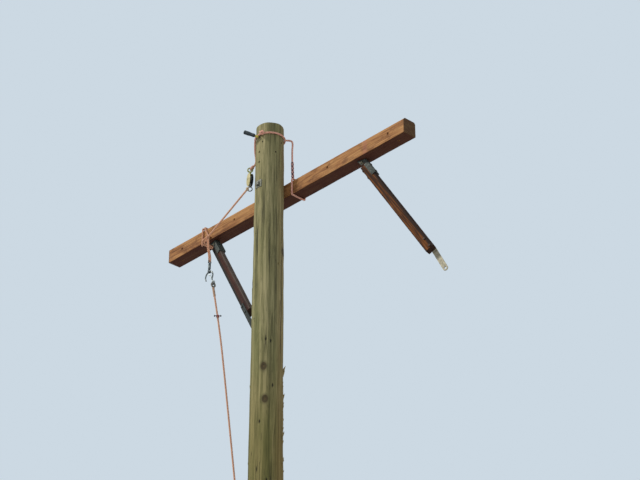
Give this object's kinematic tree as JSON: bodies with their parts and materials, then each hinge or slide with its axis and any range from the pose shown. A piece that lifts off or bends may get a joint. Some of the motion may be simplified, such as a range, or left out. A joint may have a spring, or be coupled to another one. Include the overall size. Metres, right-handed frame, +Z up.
{
  "type": "wooden utility pole",
  "caption": "Tapered round wooden utility pole with a bolted crossarm, two loose braces, a rope sling, a hand-line block and a hook on a line.",
  "frame": {"origin": "centre of the pole at ground level", "axes": "+Z up the pole, +X along the crossarm, -Y towards the face of the pole that is opposite the crossarm"},
  "size_m": [2.5726, 0.5067, 8.839],
  "materials": {
    "pole_wood": "weathered treated pine",
    "arm_wood": "sawn, mottled brown",
    "brace_wood": "dark stained",
    "galvanised": "dull galvanised",
    "dark_steel": "dark",
    "ferrule_brass": "worn",
    "handle_plastic": "matte, dark",
    "block_shell": "tan",
    "hook_yellow": "worn greenish yellow",
    "sling_rope": "laid rope, orange",
    "line_rope": "laid rope, orange and pale fleck",
    "tie_cord": "dark cord"
  },
  "bodies": {
    "pole": {"pole_shaft": "pole_wood", "crossarm": "arm_wood", "arm_bolt": "galvanised", "pole_side_washer": "galvanised", "arm_side_washer": "galvanised", "arm_bolt_nut": "galvanised", "left_brace_bolt": "galvanised", "left_brace_nut": "galvanised", "right_brace_bolt": "galvanised", "right_brace_nut": "galvanised", "sling_ring": "sling_rope", "sling_knot": "sling_rope", "sling_block_leg": "sling_rope", "sling_arm_leg": "sling_rope", "sling_splice": "sling_rope", "sling_arm_loop": "sling_rope", "bar_shank": "dark_steel", "bar_ferrule": "ferrule_brass", "bar_handle": "handle_plastic", "block_outer_cheek": "block_shell", "block_inner_cheek": "dark_steel", "block_pin": "dark_steel", "block_hook": "hook_yellow", "block_becket": "dark_steel", "becket_knot": "line_rope", "hand_line_span": "line_rope", "arm_hitch": "line_rope", "hitch_tail": "line_rope", "hitch_knot": "line_rope", "hook_pendant": "line_rope", "hook_swivel": "galvanised", "snap_hook": "galvanised", "hook_latch": "galvanised", "line_eye": "line_rope", "line_splice": "line_rope", "hand_line_fall": "line_rope", "fall_tie": "tie_cord", "fall_knot": "line_rope"},
    "left_brace": {"left_brace_strap": "galvanised", "left_brace_timber": "brace_wood", "left_brace_tang": "galvanised", "left_brace_rivets": "galvanised"},
    "right_brace": {"right_brace_strap": "galvanised", "right_brace_timber": "brace_wood", "right_brace_tang": "galvanised", "right_brace_rivets": "galvanised"},
    "sheave": {"block_sheave": "dark_steel"}
  },
  "joints": [
    {"name": "left_brace_swing", "type": "hinge", "parent": "pole", "child": "left_brace", "pos_m": [-0.762, 0.15145, 8.286], "axis": [0, 0, 1], "range_deg": [0, 100]},
    {"name": "right_brace_swing", "type": "hinge", "parent": "pole", "child": "right_brace", "pos_m": [0.762, 0.15145, 8.286], "axis": [0, 0, 1], "range_deg": [-14, 166]},
    {"name": "sheave_turn", "type": "hinge", "parent": "pole", "child": "sheave", "pos_m": [-0.09328, -0.09898, 8.417], "axis": [-0.3256, -0.9455, 0], "continuous": true}
  ]
}
